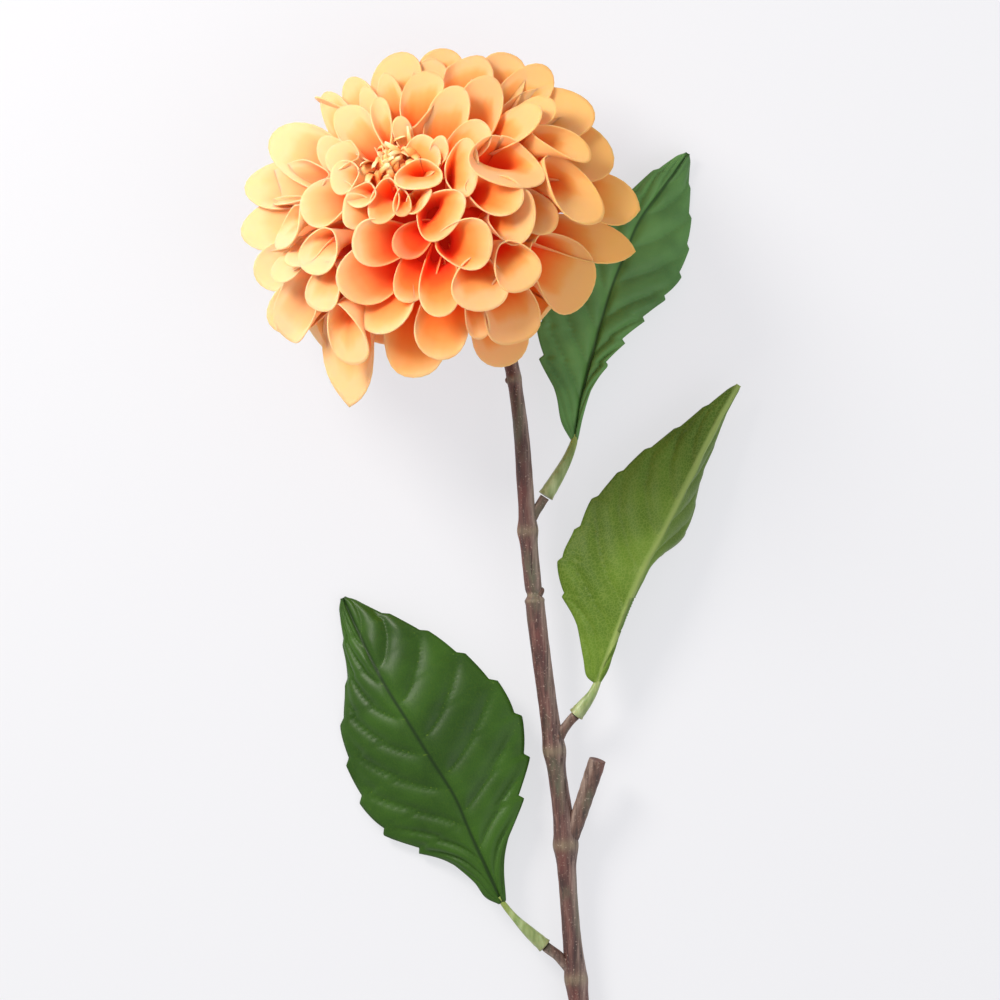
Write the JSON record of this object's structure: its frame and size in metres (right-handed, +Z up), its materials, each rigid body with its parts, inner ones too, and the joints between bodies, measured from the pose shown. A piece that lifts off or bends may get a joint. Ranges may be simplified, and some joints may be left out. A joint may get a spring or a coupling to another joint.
{
  "type": "dahlia flower",
  "caption": "Cut dahlia: a full ball-shaped bloom of rolled petals on a bent woody stem with toothed leaves, lying on its side.",
  "frame": {"origin": "on the surface that the flower lies on, under the middle of its whole outline", "axes": "+Y from the cut end of the stem towards the bloom, +Z up from the surface, +X to the right as seen from above"},
  "size_m": [0.1495, 0.3251, 0.0904],
  "materials": {
    "petals": "matte",
    "eye": "matte",
    "calyx": "matte",
    "stem": "matte",
    "leaf": "satin",
    "leaf_underside": "satin",
    "sleeve": "matte"
  },
  "bodies": {
    "root": {"bloom_petals": "petals", "bloom_centre": "eye", "calyx": "calyx", "stem": "stem", "leaf_upper": "leaf", "leaf_middle": "leaf_underside", "leaf_lower": "leaf", "petiole_upper": "sleeve", "petiole_middle": "sleeve", "petiole_lower": "sleeve"}
  },
  "joints": []
}
